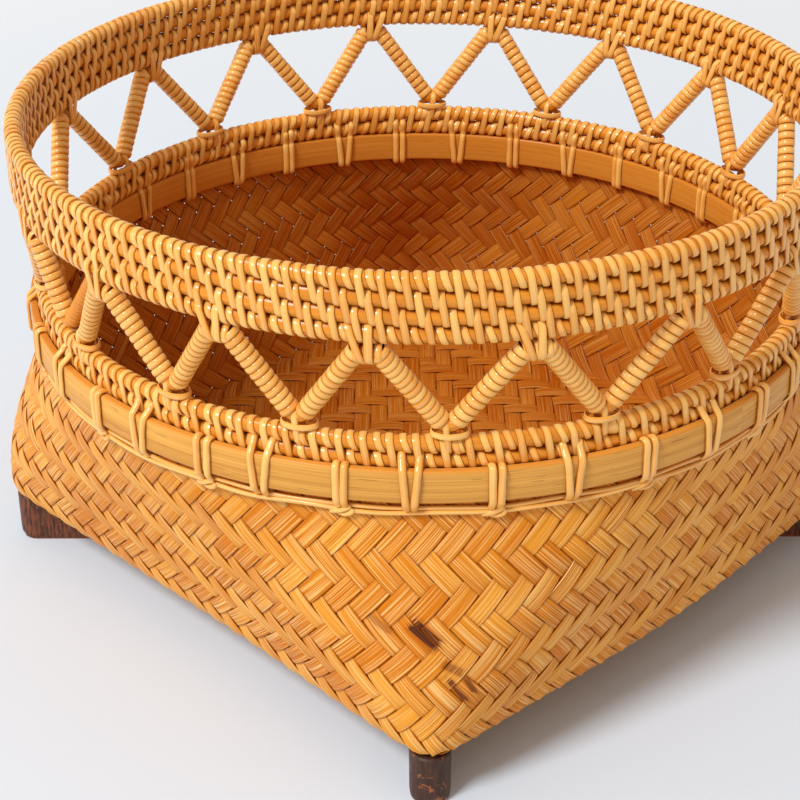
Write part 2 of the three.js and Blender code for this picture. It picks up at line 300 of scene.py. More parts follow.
def strip_finish(colours, name, pale):
    """Twilled strips: long fibres, a tone for each strip, pale streaks that are partly painted highlight, one
    direction painted lighter than the other, and painted shade inside the bowl, along the edges and where a strip dips
    under another.
    """
    finish = Finish(name, coat_roughness=0.3, specular=0.05)
    step, paint = finish.step, finish.paint
    across, tone = finish.lay()
    fine = finish.streaks(22, 2300, 53, detail=3, roughness=0.6)
    broad, thin = finish.streaks(10, 480, 31), finish.streaks(16, 3600, 17, detail=1)
    patch = finish.noise(finish.place, scale=26)
    fibrous = finish.math("FRACT", tone * 7.3) * 0.6 + 0.4
    # pale makes one direction of strips lighter and the other darker: painted light, where one direction catches more
    # light than the other
    shade = step(broad * 0.7 + patch * 0.5 + tone * 0.35 + pale, 0.45, 1.06)
    finish.body = finish.mix(shade, colours.amber, colours.honey)
    # Pale fibres, partly painted highlights: cream streaks and thin pale lines
    paint(step(fine, 0.53, 0.60) * fibrous * 0.55, colours.straw_and_highlight)
    paint(step(fine, 0.45, 0.38) * fibrous * 0.7, colours.fibre)
    paint(step(thin, 0.59, 0.66) * 0.65, colours.straw_and_highlight)
    lines = step(finish.streaks(20, 1000, 7), 0.72, 0.52)
    for start, end, reach, strength in SCORCHES:
        beside, past = finish.off_line(start, end)
        halo = step(beside, reach * 2, reach * 0.6) * step(past + (fine - 0.5) * 0.012, 0.0016, 0)
        paint(halo * strength, colours.fibre)
        core = step(beside, reach, reach * 0.85) * step(past + (fine - 0.5) * 0.006, 0.0003, -0.0002)
        paint(core * lines * strength, colours.scorch)
    # Painted shade along each strip's edges, where it meets the next
    edge = step(abs(across), 0.0032, 0.00338)
    paint(edge * 0.7, colours.seam)
    # Painted shade where a strip dips under another
    rise, wave = finish.attribute("rise"), finish.attribute("wave")
    paint(step(wave * rise * 2, 0.42, -0.05) * 0.18, colours.fibre)
    # Painted shade on the inner side of the strips, inside the bowl
    paint(step(rise, 0.2, -0.2), finish.mix(1.0, finish.body, colours.inner, "MULTIPLY"))
    return finish.close(fine * 0.3 + 0.28, coat=(1 - edge) * 0.1, grain=fine, strength=0.8, depth=0.00025)


def cane_finish(colours, name, shaded_from=0.0011):
    """Varnished cane: pale golden skin with fine lengthwise lines, a painted highlight along its middle and painted
    shade towards its edges.
    """
    finish = Finish(name, coat_roughness=0.22, specular=0.04)
    across, tone = finish.lay()
    fibre, patch = finish.streaks(60, 2600, 41), finish.streaks(70, 200, 13)
    shade = finish.step(tone * 0.4 + patch * 0.45 + fibre * 0.4, 0.25, 0.9)
    finish.body = finish.mix(shade, colours.cane_deep, colours.cane)
    # Painted highlight: a pale streak along the middle of the cane
    finish.paint(finish.step(abs(across), 0.0008, 0.0001) * fibre * 0.5, colours.straw_and_highlight)
    # Painted shade towards the edges of the cane
    edge = finish.step(abs(across), shaded_from, 0.0014)
    finish.paint(edge * 0.8, colours.cane_edge_shade)
    return finish.close(fibre * 0.15 + 0.24, coat=(1 - edge) * 0.95, grain=fibre, strength=0.2, depth=0.0001)


def rattan_finish(colours):
    """Bare rattan: orange-brown skin with darker patches, faint grain and painted shade in the grooves between rods.
    """
    finish = Finish("bare_rattan", coat_roughness=0.18, specular=0.04)
    across, tone = finish.lay()
    grain, patch = finish.streaks(35, 900, 9, detail=3), finish.noise(finish.place, scale=70, detail=3)
    finish.body = finish.mix(finish.step(grain * 0.6 + patch * 0.6, 0.35, 0.8), colours.rattan, colours.cane_deep)
    # Painted shade along each rod's lower side and, but for the first rod, its upper side, as in the grooves between
    # rods
    below, above = finish.step(across * -1, 0.0017, 0.0026), finish.step(across, 0.0017, 0.0026)
    groove = below + above * finish.step(tone, 0.25, 0.35)
    finish.paint(groove * 0.8, colours.seam)
    return finish.close(grain * 0.2 + 0.25, coat=(1 - groove) * 0.5, grain=grain, strength=0.2, depth=0.0001)


def hoop_finish(colours):
    """Split bamboo: pale tan with fine dark streaks round the hoop, orange along its edges."""
    finish = Finish("split_bamboo", coat_roughness=0.32, specular=0.06)
    step, paint = finish.step, finish.paint
    across, tone = finish.lay()
    fine, broad = finish.streaks(14, 2600, 5, detail=4, roughness=0.65), finish.streaks(5, 420, 3)
    finish.body = finish.mix(step(fine * 0.6 + broad * 0.5, 0.37, 0.70), colours.split_deep, colours.split)
    paint(step(finish.streaks(90, 1500, 1, detail=1), 0.68, 0.76) * 0.45, colours.scorch)
    paint(step(finish.streaks(38, 260, 11, detail=3), 0.62, 0.72) * 0.45, colours.fibre)
    paint(step(across * -1, 0.002, 0.0055) * 0.4, colours.split_deep)
    paint(step(abs(across), 0.0050, 0.0057) * 0.45, colours.amber)
    paint(step(tone, 0.4, 0.6) * 0.55, colours.amber)
    return finish.close(fine * 0.25 + 0.35, coat=0.35, grain=fine, strength=0.3, depth=0.0002)


def runner_finish(colours, name, body_tone, patches):
    """Wood with a dark stain, upright grain at the ends and rusty patches."""
    finish = Finish(name, coat_roughness=0.35, specular=0.25)
    x, y, z = finish.parts(finish.place)
    grain = finish.noise(finish.join(x * 900, y * 900, z * 160), detail=4, roughness=0.65)
    patch = finish.noise(finish.place, scale=230, detail=4, roughness=0.7, distortion=0.3)
    finish.body = finish.mix(finish.step(grain, 0.35, 0.7), colours.bark, body_tone)
    finish.paint(finish.step(patch, 0.58, 0.65) * patches, colours.rust)
    finish.paint(finish.step(z + patch * 0.001, 0.0014, 0.0008) * 0.7, colours.rust)
    return finish.close(grain * 0.3 + 0.4, coat=0.08, grain=grain, strength=0.5, depth=0.0004)


def floor_finish(colours):
    """Pale floor, a little lighter far from the basket."""
    finish = Finish("pale_floor", coat_roughness=0.2, specular=0.2)
    away = finish.vector("LENGTH", finish.place)
    finish.body = finish.mix(finish.step(away, 0.3, 1.2), colours.floor, colours.backdrop)
    return finish.close(roughness=0.9)


# Geometry node trees

# Inputs of every tree that makes copies
COPIED = {"Unevenness": "Float", "Seed": "Int", "Material": "Material"}


def new_tree(name, sockets):
    """A tree's graph, and its inputs by name."""
    tree = bpy.data.node_groups.new(name, "GeometryNodeTree")
    tree.interface.new_socket("Geometry", in_out="OUTPUT", socket_type="NodeSocketGeometry")
    for label, kind in {"Geometry": "Geometry", **sockets}.items():
        tree.interface.new_socket(label, in_out="INPUT", socket_type=f"NodeSocket{kind}")
    graph = Graph(tree)
    source = tree.nodes.new("NodeGroupInput")
    return graph, {socket.name: Value(graph, socket) for socket in source.outputs if socket.name}


def close_tree(graph, geometry, material, unevenness=None):
    """Ends a tree: realized, made a little uneven, and given its material."""
    geometry = graph.node("GeometryNodeRealizeInstances", {0: geometry})
    if unevenness:
        noise = graph.node("ShaderNodeTexNoise", {"Scale": 260.0, "Detail": 1.0}, "Color")
        shift = graph.scaled(graph.vector("SUBTRACT", noise, (0.5, 0.5, 0.5)), unevenness)
        geometry = graph.node("GeometryNodeSetPosition", {"Geometry": geometry, "Offset": shift})
    geometry = graph.node("GeometryNodeSetMaterial", {"Geometry": geometry, "Material": material})
    graph.feed(graph.tree.nodes.new("NodeGroupOutput").inputs[0], geometry)
    return graph.tree


def copy_to(points, rotation, graph, given):
    """Ends a tree with a copy on each point, its tone a random one in place of the template's."""
    bare = graph.node("GeometryNodeRemoveAttribute", {"Geometry": given["Geometry"], "Name": "tone"})
    copies = graph.node("GeometryNodeInstanceOnPoints", {"Points": points, "Instance": bare, "Rotation": rotation})
    tone = graph.node("FunctionNodeRandomValue", {"Seed": given["Seed"]}, 1, data_type="FLOAT")
    copies = graph.node("GeometryNodeStoreNamedAttribute", {"Geometry": copies, "Name": "tone", "Value": tone},
                        data_type="FLOAT", domain="INSTANCE")
    return close_tree(graph, copies, given["Material"], given["Unevenness"])


def round_tree():
    """Copies what it is given round the basket's upright axis."""
    sockets = {"Count": "Int", "Start": "Float", "Drifts": "Vector", "Drift Directions": "Vector", "Lead": "Float",
               "Wander": "Float"}
    graph, given = new_tree("Copies round the basket", {**sockets, **COPIED})
    points = graph.node("GeometryNodePoints", {"Count": given["Count"]})
    index = graph.node("GeometryNodeInputIndex")
    wander = graph.node("FunctionNodeRandomValue", {2: -1.0, 3: 1.0, "Seed": given["Seed"]}, 1, data_type="FLOAT")
    even = given["Start"] + index * (tau / given["Count"])
    turn = even + given["Lead"] + wander * given["Wander"]
    drifts = zip(graph.parts(given["Drifts"]), graph.parts(given["Drift Directions"]))
    for waves, (reach, direction) in enumerate(drifts, 1):
        turn = turn + reach * graph.math("COSINE", (even - direction) * waves)
    rotation = graph.node("FunctionNodeEulerToRotation", {0: graph.join(z=turn)})
    return copy_to(points, rotation, graph, given)


def wrap_tree():
    """Sets turns of cane one against the next along the strands of a path object."""
    graph, given = new_tree("Turns along a path", {"Path": "Object", "Pitch": "Float", **COPIED})
    path = graph.node("GeometryNodeObjectInfo", {"Object": given["Path"]}, "Geometry")
    beads = graph.node("GeometryNodeResampleCurve", {"Curve": path, "Length": given["Pitch"]}, mode="LENGTH")
    heading = graph.node("GeometryNodeInputTangent")
    rotation = graph.node("FunctionNodeAlignRotationToVector", {"Vector": heading}, axis="Z")
    return copy_to(beads, rotation, graph, given)


def drape_tree():
    """Lays flat strips on a guide sheet and lifts them over and under each other."""
    graph, given = new_tree("Twill over the bowl", {"Guide": "Object", "Thickness": "Float", "Relief": "Float",
                                                    "Material": "Material"})
    guide = graph.node("GeometryNodeObjectInfo", {"Object": given["Guide"]}, "Geometry")

    def named(name, kind="FLOAT_VECTOR"):
        return graph.node("GeometryNodeInputNamedAttribute", {"Name": name}, data_type=kind)

    def sampled(value):
        values = {"Mesh": guide, "Value": value, "Source UV Map": named("sheet"), "Sample UV": named("spot")}
        return graph.node("GeometryNodeSampleUVSurface", values, data_type="FLOAT_VECTOR")

    sink = given["Relief"] + given["Thickness"] * 0.5
    lift = named("wave", "FLOAT") * given["Relief"] + named("rise", "FLOAT") * given["Thickness"] - sink
    values = {"Geometry": given["Geometry"], "Position": sampled(graph.node("GeometryNodeInputPosition")),
              "Offset": graph.scaled(sampled(named("outward")), lift)}
    return close_tree(graph, graph.node("GeometryNodeSetPosition", values), given["Material"])


# Objects and meshes

def numbered(node, count):
    return [f"{node}_{k:02d}" for k in range(1, count + 1)]


def placed(name, data):
    """A new object in the scene."""
    made = bpy.data.objects.new(name, data)
    bpy.context.scene.collection.objects.link(made)
    return made


def shape_of(piece):
    """A plain mesh of an object with its modifiers applied."""
    depsgraph = bpy.context.evaluated_depsgraph_get()
    return bpy.data.meshes.new_from_object(piece.evaluated_get(depsgraph), depsgraph=depsgraph)


def grow(blank, tree, name, **inputs):
    """Runs a tree on a blank and returns its result as a plain mesh object."""
    modifier = blank.modifiers.new("grow", "NODES")
    modifier.node_group = tree
    for item in tree.interface.items_tree:
        if item.in_out == "INPUT" and item.name in inputs:
            modifier[item.identifier] = inputs[item.name]
    mesh = shape_of(blank)
    bpy.data.objects.remove(blank)
    if not mesh.polygons:
        raise RuntimeError(f"{name} came out empty")
    return placed(name, mesh)


def joined(pieces, name):
    """One object from several, with their shared UV map, tones and materials."""
    with bpy.context.temp_override(active_object=pieces[0], object=pieces[0], selected_editable_objects=pieces,
                                   selected_objects=pieces):
        bpy.ops.object.join()
    pieces[0].name = name
    return pieces[0]


def dressed(piece, replaced=(), sharp=30, material=None):
    """Finishes a piece: its faces outward and shaded, and riding on the basket."""
    mesh = piece.data
    if material:
        mesh.materials.append(material)
    work = bmesh.new()
    work.from_mesh(mesh)
    bmesh.ops.recalc_face_normals(work, faces=work.faces)
    for face in work.faces:
        face.smooth = True
    work.to_mesh(mesh)
    work.free()
    mesh.set_sharp_from_angle(angle=radians(sharp))
    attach(piece, BODY)
    if replaced:
        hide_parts(*replaced)


def store(mesh, name, values):
    """Stores a number or a vector for each point of a mesh."""
    values = np.asarray(values, np.float32)
    kind, key = ("FLOAT", "value") if values.ndim == 1 else ("FLOAT_VECTOR", "vector")
    mesh.attributes.new(name, kind, "POINT").data.foreach_set(key, values.ravel())


def circle(count):
    """Points of the unit circle."""
    return [(cos(tau * k / count), sin(tau * k / count)) for k in range(count)]


def unit(vectors):
    """Rows of vectors, each made 1 long."""
    return vectors / np.linalg.norm(vectors, axis=-1, keepdims=True)


# Strands

class Strands:
    """Gathers swept strands into one mesh, with their lay as its UV map and a tone for each."""

    def __init__(self):
        self.points, self.faces, self.lay, self.tone = [], [], [], []
        self.count = 0

    def add(self, path, across, outward, section, closed=False, tone=0.5):
        """Sweeps a section along a path. A direction is one for the whole path, or one for each of its points."""
        path, section = np.asarray(path, float), np.asarray(section, float)
        across, outward = (np.broadcast_to(np.asarray(way, float), path.shape) for way in (across, outward))
        rings, corners = len(path), len(section)
        points = path[:, None] + across[:, None] * section[None, :, :1] + outward[:, None] * section[None, :, 1:]
        steps = np.linalg.norm(np.diff(path, axis=0, append=path[:1]), axis=1)
        along = np.concatenate([[0], np.cumsum(steps)])
        for n in range(rings if closed else rings - 1):
            for m in range(corners):
                k, after = (m + 1) % corners, (n + 1) % rings
                quad = (n * corners + m, n * corners + k, after * corners + k, after * corners + m)
                self.faces.append([self.count + v for v in quad])
                low, high = section[m, 0], section[k, 0]
                self.lay += [(along[n], low), (along[n], high), (along[n + 1], high), (along[n + 1], low)]
        if not closed:
            for n in (0, rings - 1):
                self.faces.append([self.count + n * corners + m for m in range(corners)])
                self.lay += [(along[n], section[m, 0]) for m in range(corners)]
        self.points.append(points.reshape(-1, 3))
        self.tone += [tone] * (rings * corners)
        self.count += rings * corners
        return self

    def ring(self, radius, height, section, segments, tone, wave=None):
        """Adds a closed strand round the basket's upright axis."""
        turns = np.arange(segments) * tau / segments
        out = np.stack([np.cos(turns), np.sin(turns), 0 * turns], 1)
        rise = wave(turns) if wave else 0 * turns
        path = out * radius + np.stack([0 * turns, 0 * turns, height + rise], 1)
        return self.add(path, (0, 0, 1), out, section, closed=True, tone=tone)

    def object(self, name):
        mesh = bpy.data.meshes.new(name)
        mesh.from_pydata(np.concatenate(self.points).tolist(), [], self.faces)
        mesh.uv_layers.new(name="lay").data.foreach_set("uv", np.array(self.lay, np.float32).ravel())
        store(mesh, "tone", self.tone)
        return placed(name, mesh)


def cane_section(width, thickness, shoulder=0.78):
    """Section of cane: flat beneath, crowned above."""
    half, shoulder_height, crown = width / 2, thickness * 0.74, 0.3
    return [(-half, 0), (-half * shoulder, shoulder_height), (-half * crown, thickness), (half * crown, thickness),
            (half * shoulder, shoulder_height), (half, 0)]


def band_section(half, thick, soft):
    """Section of a flat band with softened edges, its outer face at 0."""
    corners = ((half - soft, -soft, 90), (half - soft, soft - thick, 0), (soft - half, soft - thick, -90),
               (soft - half, -soft, -180))
    return [(x + soft * cos(radians(start - turn)), z + soft * sin(radians(start - turn)))
            for x, z, start in corners for turn in (0, 30, 60, 90)]


def round_section(radius, corners=12):
    """Section of a rod or a thin strand."""
    return [(radius * c, radius * s) for c, s in circle(corners)]


def strap(circles, samples, lean=0.0, width=None, shift=0.0, spread=0.0):
    """A closed strap of cane pulled tight round circles (radius, height, size) of one upright plane.

    Shift moves it sideways. Spread moves its top sideways and its foot the other way.
    """
    cane = settings().cane
    middle = sum(height for _, height, _ in circles) / len(circles)
    path, outward = [], []
    for c, s in circle(samples):
        x, z, size = max(circles, key=lambda held: held[0] * c + held[1] * s + held[2])
        x, z = x + size * c, z + size * s
        path.append((x, lean * (middle - z), z))
        outward.append((c, 0, s))
    heights = [z for _, _, z in path]
    top, foot = max(heights), min(heights)
    path = [(x, y + shift + spread * (2 * (z - foot) / (top - foot) - 1), z) for x, y, z in path]
    section = cane_section(width or cane.width, cane.thickness)
    return Strands().add(path, (0, 1, 0), outward, section, closed=True).object("strap")


# The woven bowl

class BowlSheet:
    """The bowl's outer surface, and the flat lattice of strips that is folded over it."""

    STRETCH = 0.959  # Height won by a length of strip on its way up the wall
    LOW_BULGE, HIGH_BULGE = 0.0041, 0.0088  # How far the corners' upright profile bends out
    EVENED = 0.03  # Length up the wall at which the strips are evenly spaced round it
    BESIDE = 0.34  # Samples beside a crossing, in pitches from its middle
    CREST, SADDLE = 0.85, 0.42  # Height of a strip over the middle of a crossing, and where it changes sides
    BEVEL = 0.00045  # Width of a strip's slanted edges

    def __init__(self, sizes):
        self.sizes = sizes
        self.half = sizes.base_width / 2
        self.edge = self.half + sizes.lattice_drop
        self.pitch = 8 * self.edge / sizes.strips
        self.base = BOWL_LOW[2]
        self.mouth = BOWL_HIGH[0]
        self.top = (BOWL_HIGH[2] - self.base) / self.STRETCH - sizes.lattice_drop

    def radius(self, angle, height):
        """Distance from the axis to the wall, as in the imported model."""
        rise = np.clip((height - self.base) / (self.sizes.round_height - self.base), 0, 1)
        fall = 1 - rise
        corner, mouth = self.sizes.corner, self.mouth
        flank = self.half * fall + mouth * rise
        ridge = (corner * fall ** 3 + 3 * (corner + self.LOW_BULGE) * rise * fall ** 2
                 + 3 * (mouth + self.HIGH_BULGE) * rise ** 2 * fall + mouth * rise ** 3)
        power = np.log(2) / np.log(sqrt(2) * flank / ridge)
        spread = np.abs(np.cos(angle)) ** power + np.abs(np.sin(angle)) ** power
        swell = self.sizes.swell * np.clip(np.cos(angle), 0, 1) ** self.sizes.swell_sharpness
        return flank / spread ** (1 / power) + swell * fall

    def square(self, share):
        """Point of the unit square at a share of its edge, anticlockwise from the middle of the +X side."""
        eighths, corners = share % 1 * 8, (0, 1, 3, 5, 7, 8)
        return np.interp(eighths, corners, (1, 1, -1, -1, 1, 1)), np.interp(eighths, corners, (0, 1, 1, -1, -1, 0))

    def share(self, x, y):
        """The reverse of square, for a point of any square round the middle."""
        reach = np.maximum(np.abs(x), np.abs(y))
        x, y = x / reach, y / reach
        s = np.select([(x >= 1) & (y >= 0), y >= 1, x <= -1, y <= -1], [y, 2 - x, 4 - y, 6 + x], 8 + y)
        return (s / 8) % 1

    def flat(self, x, y):
        """A point of the base, drawn in towards the rounded corners."""
        angle = np.arctan2(y, x)
        reach = np.maximum(np.abs(x), np.abs(y))
        straight = self.half / np.maximum(np.abs(np.cos(angle)), np.abs(np.sin(angle)))
        draw = 1 + (self.radius(angle, self.base) / straight - 1) * (reach / self.half) ** 6
        return np.stack([x * draw, y * draw, self.base + 0 * x], -1)

    def wall(self, share, rise):
        """A point of the wall at a height along the surface above the base edge."""
        height = self.base + rise * self.STRETCH
        x, y = self.square(share)
        straight = np.arctan2(y, x)
        dense = np.linspace(0, tau, 1441)
        radius = self.radius(dense, height)
        ring = np.stack([radius * np.cos(dense), radius * np.sin(dense)], 1)
        arc = np.concatenate([[0], np.cumsum(np.linalg.norm(np.diff(ring, axis=0), axis=1))])
        even = np.interp((share % 1) * arc[-1], arc, dense)
        even = straight + (even - straight + pi) % tau - pi
        blend = np.clip(rise / self.EVENED, 0, 1)
        angle = straight + (even - straight) * blend * blend * (3 - 2 * blend)
        radius = self.radius(angle, height)
        return np.stack([radius * np.cos(angle), radius * np.sin(angle), height + 0 * angle], -1)

    def point(self, share, rise):
        """A point of the folded sheet near or above the base edge."""
        fold = self.sizes.fold
        if rise >= fold:
            return self.wall(share, rise)
        x, y = self.square(share)
        if rise <= -fold:
            return self.flat(x * (self.half + rise), y * (self.half + rise))
        inner = self.flat(x * (self.half - fold), y * (self.half - fold))
        t = (rise + fold) / (2 * fold)
        return inner * (1 - t) ** 2 + 2 * self.wall(share, 0.0) * t * (1 - t) + self.wall(share, fold) * t ** 2

    def on_wall(self, share, height):
        """Where a point of the wall lies in the guide's UV map: in its lower part."""
        part, margin = 0.45, 0.002
        return np.stack([share, part * (height + margin) / (self.top + 2 * margin), 0 * share], -1)

    def on_base(self, x, y):
        """Where a point of the base lies in the guide's UV map: in its upper half."""
        margin = 0.001
        span = self.edge + margin
        return np.stack([0.5 * (x + span) / (2 * span), 0.5 + 0.5 * (y + span) / (2 * span), 0 * x], -1)

    def guide(self):
        """The guide sheet: the wall as one grid and the base as another."""
        drop, fold = self.sizes.lattice_drop, self.sizes.fold
        shares = np.linspace(0, 1, 385)
        heights = np.concatenate([np.linspace(-0.001, fold * 2, 14), np.linspace(fold * 2.4, self.top + 0.001, 46)])
        wall = np.stack([self.point(shares, height + drop) for height in heights])
        rim = np.linspace(self.half - 2 * fold, self.edge + 0.0005, 16)
        line = np.concatenate([-rim[::-1], np.linspace(-1, 1, 41)[1:-1] * (self.half - 2 * fold), rim])
        x, y = np.meshgrid(line, line)
        base = self.flat(x, y)
        rises = np.maximum(np.abs(x), np.abs(y)) - self.half
        for place in np.argwhere(rises > -fold):
            place = tuple(place)
            base[place] = self.point(self.share(x[place], y[place]), float(rises[place]))
        points, spots, normals, faces, start = [], [], [], [], 0
        wall_spots, base_spots = self.on_wall(*np.meshgrid(shares, heights)), self.on_base(x, y)
        for grid, spot, turn in ((wall, wall_spots, 1), (base, base_spots, -1)):
            rows, columns = grid.shape[:2]
            normal = unit(np.cross(np.gradient(grid, axis=1), np.gradient(grid, axis=0)) * turn)
            for field, values in ((points, grid), (spots, spot), (normals, normal)):
                field.append(values.reshape(-1, 3))
            low = (np.arange(rows - 1)[:, None] * columns + np.arange(columns - 1)).ravel() + start
            faces.append(np.stack([low, low + 1, low + columns + 1, low + columns], 1))
            start += rows * columns
        mesh = bpy.data.meshes.new("bowl_guide")
        mesh.from_pydata(np.concatenate(points).tolist(), [], np.concatenate(faces).tolist())
        store(mesh, "sheet", np.concatenate(spots))
        store(mesh, "outward", np.concatenate(normals))
        return placed("bowl_guide", mesh)

    def over(self, first, strip, crossing):
        """Whether a strip passes on the outside at a crossing: two over, two under, in level rows."""
        quarter = self.sizes.strips // 4
        level = abs(crossing + 0.5) + abs(strip + 0.5) - quarter
        if level >= 0:
            rising = ((crossing + 0.5) * (strip + 0.5) > 0) == first
        else:
            wide, deep = abs(strip + crossing + 1), abs(crossing - strip)
            level = max(wide, deep) - quarter
            rising = (wide > deep) == first
        return (floor(level) % 4 in (2, 3)) == rising

    def course(self, first, strip, end):
        """A strip's samples from end to end: how far along it each lies, and how far it is over or under there."""
        last = ceil(end / self.pitch - 0.5)
        along, wave = [], []
        for crossing in range(-last - 1, last + 1):
            before, side, after = (1 if self.over(first, strip, crossing + k) else -1 for k in (-1, 0, 1))
            for shift, near in ((-self.BESIDE, before), (0, side), (self.BESIDE, after)):
                along.append((crossing + 0.5 + shift) * self.pitch)
                wave.append(side * (self.CREST if shift == 0 else 1.0 if near == side else self.SADDLE))
        along, wave = np.clip(along, -end, end), np.array(wave)
        keep = np.concatenate([[True], np.diff(along) > 1e-7])
        return along[keep], wave[keep]

    def strips(self, first, seed):
        """Flat strips of one direction, with where each point goes on the guide."""
        chance = np.random.default_rng(seed)
        strands, flip = Strands(), 1 if first else -1
        spots, waves, rises = [], [], []
        for strip in range(-(self.sizes.strips // 4), self.sizes.strips // 4):
            centre = (strip + 0.5) * self.pitch
            width = self.pitch / sqrt(2) * self.sizes.cover * chance.uniform(0.985, 1.0)
            along, wave = self.course(first, strip, 2 * self.edge - abs(centre) + 2 * self.top + width / sqrt(2))
            half, bevel = width / 2, width / 2 - self.BEVEL
            section = [(-half, 0), (-bevel, 0.5), (bevel, 0.5), (half, 0), (bevel, -0.5), (-bevel, -0.5)]
            path = np.stack([along / sqrt(2), 0 * along, 0 * along], 1)
            strands.add(path, (0, 1, 0), (0, 0, 1), section, tone=float(chance.uniform(0, 1)))
            a, c = np.meshgrid(along, centre + np.array([s[0] for s in section]) * sqrt(2), indexing="ij")
            wall = np.abs(a) + np.abs(c) > 2 * self.edge
            leave = np.sign(a) * np.maximum(2 * self.edge - np.abs(c), 0)
            past = np.clip(np.abs(a) - np.abs(leave), 0, 2 * self.top)
            turn = np.where((a * c > 0) == first, 1, -1)
            share = self.share((leave + c) / 2, (leave - c) / 2 * flip) + turn * past / 2 / (8 * self.edge)
            spot = np.where(wall[..., None], self.on_wall(share % 1, past / 2),
                            self.on_base((a + c) / 2, (a - c) / 2 * flip))
            spots.append(spot.reshape(-1, 3))
            waves.append(np.repeat(wave, len(section)))
            rises.append(np.tile([s[1] for s in section], len(along)))
        blank = strands.object("flat_strips")
        for name, values in (("spot", spots), ("wave", waves), ("rise", rises)):
            store(blank.data, name, np.concatenate(values))
        return blank


# Operators

FLOOR_REACH = 9.0
# Each lamp's turn from the camera in degrees, height, distance, disk size and power
LAMPS = {"key": (-45, 6.0, 5.0, 2.2, 478), "fill": (-95, 1.9, 5.0, 3.0, 44)}
LAMP_COLOUR, LAMP_AIM = (0.93, 0.97, 1.0), (0, 0, 0.08)
SKY_COLOUR, SKY_POWER = (1.0, 0.885, 0.77, 1), 0.58
# The camera's direction from the axis in degrees, distance and height, then its tilt and yaw in radians
CAMERA_TURN, CAMERA_FAR, CAMERA_HEIGHT, CAMERA_TILT, CAMERA_YAW = -46.1, 0.6614, 0.4385, 0.519, -0.014


class BASKET_OT_stage(bpy.types.Operator):
    """Pale floor, soft light and the camera at the photographed angle"""
    bl_idname = "basket.stage"
    bl_label = "Stage"

    def execute(self, context):
        scene = context.scene
        scene.view_settings.view_transform = "Standard"
        mesh = bpy.data.meshes.new("floor")
        corners = ((-1, -1), (1, -1), (1, 1), (-1, 1))
        mesh.from_pydata([(x * FLOOR_REACH, y * FLOOR_REACH, 0) for x, y in corners], [], [(0, 1, 2, 3)])
        mesh.materials.append(floor_finish(settings().palette))
        floor = placed("floor", mesh)

        scene.world = bpy.data.worlds.new("studio")
        scene.world.use_nodes = True
        sky = scene.world.node_tree.nodes["Background"].inputs
        sky["Color"].default_value, sky["Strength"].default_value = SKY_COLOUR, SKY_POWER

        facing = radians(CAMERA_TURN)
        for name, (turn, height, far, size, power) in LAMPS.items():
            lamp = bpy.data.lights.new(name, "AREA")
            lamp.shape, lamp.size, lamp.energy, lamp.color = "DISK", size, power, LAMP_COLOUR
            place = turned((far, 0, height), facing + radians(turn))
            self.aim(placed(name, lamp), place, Vector(LAMP_AIM) - place)

        lens = bpy.data.cameras.new("camera")
        lens.sensor_width, lens.lens, lens.clip_end = 36, 87.04, 100
        scene.camera = placed("camera", lens)
        sight = turned((cos(CAMERA_TILT), 0, -sin(CAMERA_TILT)), facing + pi - CAMERA_YAW)
        self.aim(scene.camera, turned((CAMERA_FAR, 0, CAMERA_HEIGHT), facing), sight)
        return {"FINISHED"}

    def aim(self, piece, place, sight):
        """Puts a lamp or camera at a place, looking along a direction."""
        piece.location = place
        piece.rotation_euler = sight.to_track_quat("-Z", "Y").to_euler()


class BASKET_OT_weave(bpy.types.Operator):
    """Twilled strips folded over the base edge and up the wall"""
    bl_idname = "basket.weave"
    bl_label = "Woven bowl"

    def execute(self, context):
        sizes = settings().weave
        sheet = BowlSheet(sizes)
        guide = sheet.guide()
        tree = drape_tree()
        # The last number of each plan, pale, paints one direction lighter and the other darker: painted light
        for first, name, pale in ((True, "strips_one_way", 0.06), (False, "strips_other_way", -0.08)):
            material = strip_finish(settings().palette, name + "_bamboo", pale)
            piece = grow(sheet.strips(first, 7 + first), tree, name, Guide=guide, Thickness=sizes.thickness,
                         Relief=sizes.relief, Material=material)
            dressed(piece, ["woven_bowl"], sharp=24)
        bpy.data.objects.remove(guide)
        return {"FINISHED"}


class BASKET_OT_rods(bpy.types.Operator):
    """Bare rods of the rim and the collar"""
    bl_idname = "basket.rods"
    bl_label = "Rim and collar rods"

    def execute(self, context):
        section = round_section(settings().cane.rod)
        material = rattan_finish(settings().palette)
        for name, rods, node in (("rim_rods", RIM, "rim_rod"), ("collar_rods", COLLAR, "collar_rod")):
            strands = Strands()
            for k, (radius, height, _) in enumerate(rods):
                strands.ring(radius, height, section, segments=240, tone=0.2 + 0.2 * k)
            dressed(strands.object(name), numbered(node, len(rods)), material=material)
        return {"FINISHED"}


